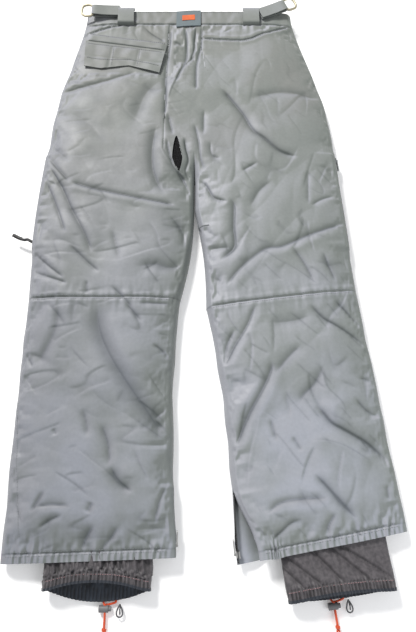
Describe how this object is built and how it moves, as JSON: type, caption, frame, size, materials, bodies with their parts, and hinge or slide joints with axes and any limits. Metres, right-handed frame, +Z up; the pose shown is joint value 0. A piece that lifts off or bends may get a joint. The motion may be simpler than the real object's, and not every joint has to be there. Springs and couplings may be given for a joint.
{
  "type": "ski pants",
  "caption": "Insulated ski pants lying flat, back side up, with gaiters, zips, pocket flap and waist adjusters that move",
  "frame": {"origin": "crotch point on the garment's centre line, on the face it rests on", "axes": "+Y towards the waist, +X towards the wearer's right leg, +Z up out of the back of the pants"},
  "size_m": [0.6609, 1.1811, 0.0457],
  "materials": {
    "shell": "light grey padded nylon with a faint green and lilac sheen",
    "band": "the same grey nylon, doubled and stitched",
    "lining": "dark navy taffeta",
    "gaiter": "brownish grey gathered nylon with elastic",
    "patch": "slate webbing with a plain orange mark",
    "mesh": "black mesh",
    "cord": "orange braided cord",
    "zip_tape": "black zip tape with moulded teeth",
    "zip_metal": "worn grey metal",
    "ring": "pale coated wire",
    "puller": "matt black",
    "toggle": "grey moulded plastic",
    "hook": "dull grey wire"
  },
  "bodies": {
    "seat": {"back_left_panel": "shell", "back_right_panel": "shell", "back_left_yoke": "shell", "back_right_yoke": "shell", "seat_gusset": "shell", "front_left_panel": "shell", "front_right_panel": "shell", "back_waistband": "band", "front_waistband": "band", "body_lining": "lining", "locker_patch": "patch", "keeper_loops": "band", "pocket_welt": "shell", "pocket_bag": "lining", "inner_vent_mesh": "mesh", "snap_studs": "zip_metal", "fly_placket": "shell", "fly_shield": "lining", "fly_zip": "zip_tape", "left_side_zip": "zip_tape", "right_side_zip": "zip_tape"},
    "pocket_flap": {"pocket_flap": "shell"},
    "left_adjuster": {"left_adjuster_strap": "band"},
    "left_ring": {"left_waist_ring": "ring"},
    "right_adjuster": {"right_adjuster_strap": "band"},
    "right_ring": {"right_waist_ring": "ring"},
    "waist_tab": {"waist_tab": "band", "snap_caps": "zip_metal"},
    "fly_slider": {"fly_slider": "zip_metal", "fly_pull": "zip_metal"},
    "left_side_slider": {"left_side_slider": "zip_metal"},
    "left_side_pull": {"left_side_pull": "puller"},
    "left_shin": {"left_lower_back_panel": "shell", "left_lower_front_panel": "shell", "left_hem_band": "band", "left_leg_lining": "lining", "left_gaiter_sleeve": "gaiter", "left_gaiter_band": "gaiter", "left_drawcord": "cord", "left_hem_zip": "zip_tape"},
    "left_cord_lock": {"left_cord_lock": "toggle"},
    "left_lock_button": {"left_lock_button": "puller"},
    "left_boot_hook": {"left_boot_hook": "hook"},
    "left_hem_slider": {"left_hem_slider": "zip_metal"},
    "left_hem_pull": {"left_hem_pull": "zip_metal"},
    "right_side_slider": {"right_side_slider": "zip_metal"},
    "right_side_pull": {"right_side_pull": "puller"},
    "right_shin": {"right_lower_back_panel": "shell", "right_lower_front_panel": "shell", "right_hem_band": "band", "right_leg_lining": "lining", "right_gaiter_sleeve": "gaiter", "right_gaiter_band": "gaiter", "right_drawcord": "cord", "right_hem_zip": "zip_tape"},
    "right_cord_lock": {"right_cord_lock": "toggle"},
    "right_lock_button": {"right_lock_button": "puller"},
    "right_boot_hook": {"right_boot_hook": "hook"},
    "right_hem_slider": {"right_hem_slider": "zip_metal"},
    "right_hem_pull": {"right_hem_pull": "zip_metal"}
  },
  "joints": [
    {"name": "left_knee", "type": "hinge", "parent": "seat", "child": "left_shin", "pos_m": [-0.1415, -0.297, 0.038], "axis": [-1, 0, 0], "range_deg": [0, 130]},
    {"name": "right_knee", "type": "hinge", "parent": "seat", "child": "right_shin", "pos_m": [0.169, -0.297, 0.038], "axis": [-0.9934, -0.1149, 0], "range_deg": [0, 130]},
    {"name": "pocket_flap_hinge", "type": "hinge", "parent": "seat", "child": "pocket_flap", "pos_m": [-0.208, 0.258, 0.0404], "axis": [-0.9874, 0.1582, 0], "range_deg": [0, 150]},
    {"name": "left_adjuster_lift", "type": "hinge", "parent": "seat", "child": "left_adjuster", "pos_m": [-0.147, 0.334, 0.041], "axis": [0, 1, 0], "range_deg": [0, 90]},
    {"name": "left_ring_swing", "type": "hinge", "parent": "left_adjuster", "child": "left_ring", "pos_m": [-0.197, 0.334, 0.0421], "axis": [0, 1, 0], "range_deg": [0, 150]},
    {"name": "right_adjuster_lift", "type": "hinge", "parent": "seat", "child": "right_adjuster", "pos_m": [0.152, 0.328, 0.041], "axis": [0.3746, -0.9272, 0], "range_deg": [0, 90]},
    {"name": "right_ring_swing", "type": "hinge", "parent": "right_adjuster", "child": "right_ring", "pos_m": [0.19836, 0.34673, 0.0421], "axis": [0.3746, -0.9272, 0], "range_deg": [0, 150]},
    {"name": "waist_tab_hinge", "type": "hinge", "parent": "seat", "child": "waist_tab", "pos_m": [-0.02, 0.321, 0], "axis": [0, 1, 0], "range_deg": [0, 120], "stiffness_Nm_per_rad": 0.02},
    {"name": "fly_zip_run", "type": "slide", "parent": "seat", "child": "fly_slider", "axis": [0, 1, 0], "range_m": [-0.115, 0]},
    {"name": "left_side_zip_run", "type": "slide", "parent": "seat", "child": "left_side_slider", "axis": [0.0219, 0.9998, 0], "range_m": [0, 0.162]},
    {"name": "left_side_pull_swing", "type": "hinge", "parent": "left_side_slider", "child": "left_side_pull", "pos_m": [-0.27517, -0.1859, 0.019], "axis": [0, 0, -1], "range_deg": [-105, 65]},
    {"name": "right_side_zip_run", "type": "slide", "parent": "seat", "child": "right_side_slider", "axis": [-0.0677, 0.9977, 0], "range_m": [-0.162, 0]},
    {"name": "right_side_pull_swing", "type": "hinge", "parent": "right_side_slider", "child": "right_side_pull", "pos_m": [0.28605, -0.0138, 0.019], "axis": [0, 0, 1], "range_deg": [0, 175]},
    {"name": "left_hem_zip_run", "type": "slide", "parent": "left_shin", "child": "left_hem_slider", "axis": [0, 1, 0], "range_m": [0, 0.076]},
    {"name": "left_hem_pull_swing", "type": "hinge", "parent": "left_hem_slider", "child": "left_hem_pull", "pos_m": [-0.0069, -0.693, 0.019], "axis": [0, 0, -1], "range_deg": [0, 175]},
    {"name": "left_cord_lock_run", "type": "slide", "parent": "left_shin", "child": "left_cord_lock", "axis": [0, -1, 0], "range_m": [0, 0.018]},
    {"name": "left_lock_button_press", "type": "slide", "parent": "left_cord_lock", "child": "left_lock_button", "axis": [-1, 0, 0], "range_m": [0, 0.003], "stiffness_N_per_m": 400},
    {"name": "left_boot_hook_swing", "type": "hinge", "parent": "left_shin", "child": "left_boot_hook", "pos_m": [-0.0915, -0.777, 0.0066], "axis": [-1, 0, 0], "range_deg": [-10, 120]},
    {"name": "right_hem_zip_run", "type": "slide", "parent": "right_shin", "child": "right_hem_slider", "axis": [-0.1149, 0.9934, 0], "range_m": [0, 0.076]},
    {"name": "right_hem_pull_swing", "type": "hinge", "parent": "right_hem_slider", "child": "right_hem_pull", "pos_m": [0.08081, -0.70585, 0.019], "axis": [0, 0, 1], "range_deg": [0, 175]},
    {"name": "right_cord_lock_run", "type": "slide", "parent": "right_shin", "child": "right_cord_lock", "axis": [0.1149, -0.9934, 0], "range_m": [0, 0.018]},
    {"name": "right_lock_button_press", "type": "slide", "parent": "right_cord_lock", "child": "right_lock_button", "axis": [-0.9934, -0.1149, 0], "range_m": [0, 0.003], "stiffness_N_per_m": 400},
    {"name": "right_boot_hook_swing", "type": "hinge", "parent": "right_shin", "child": "right_boot_hook", "pos_m": [0.25, -0.77083, 0.0066], "axis": [-0.9934, -0.1149, 0], "range_deg": [-10, 120]}
  ]
}
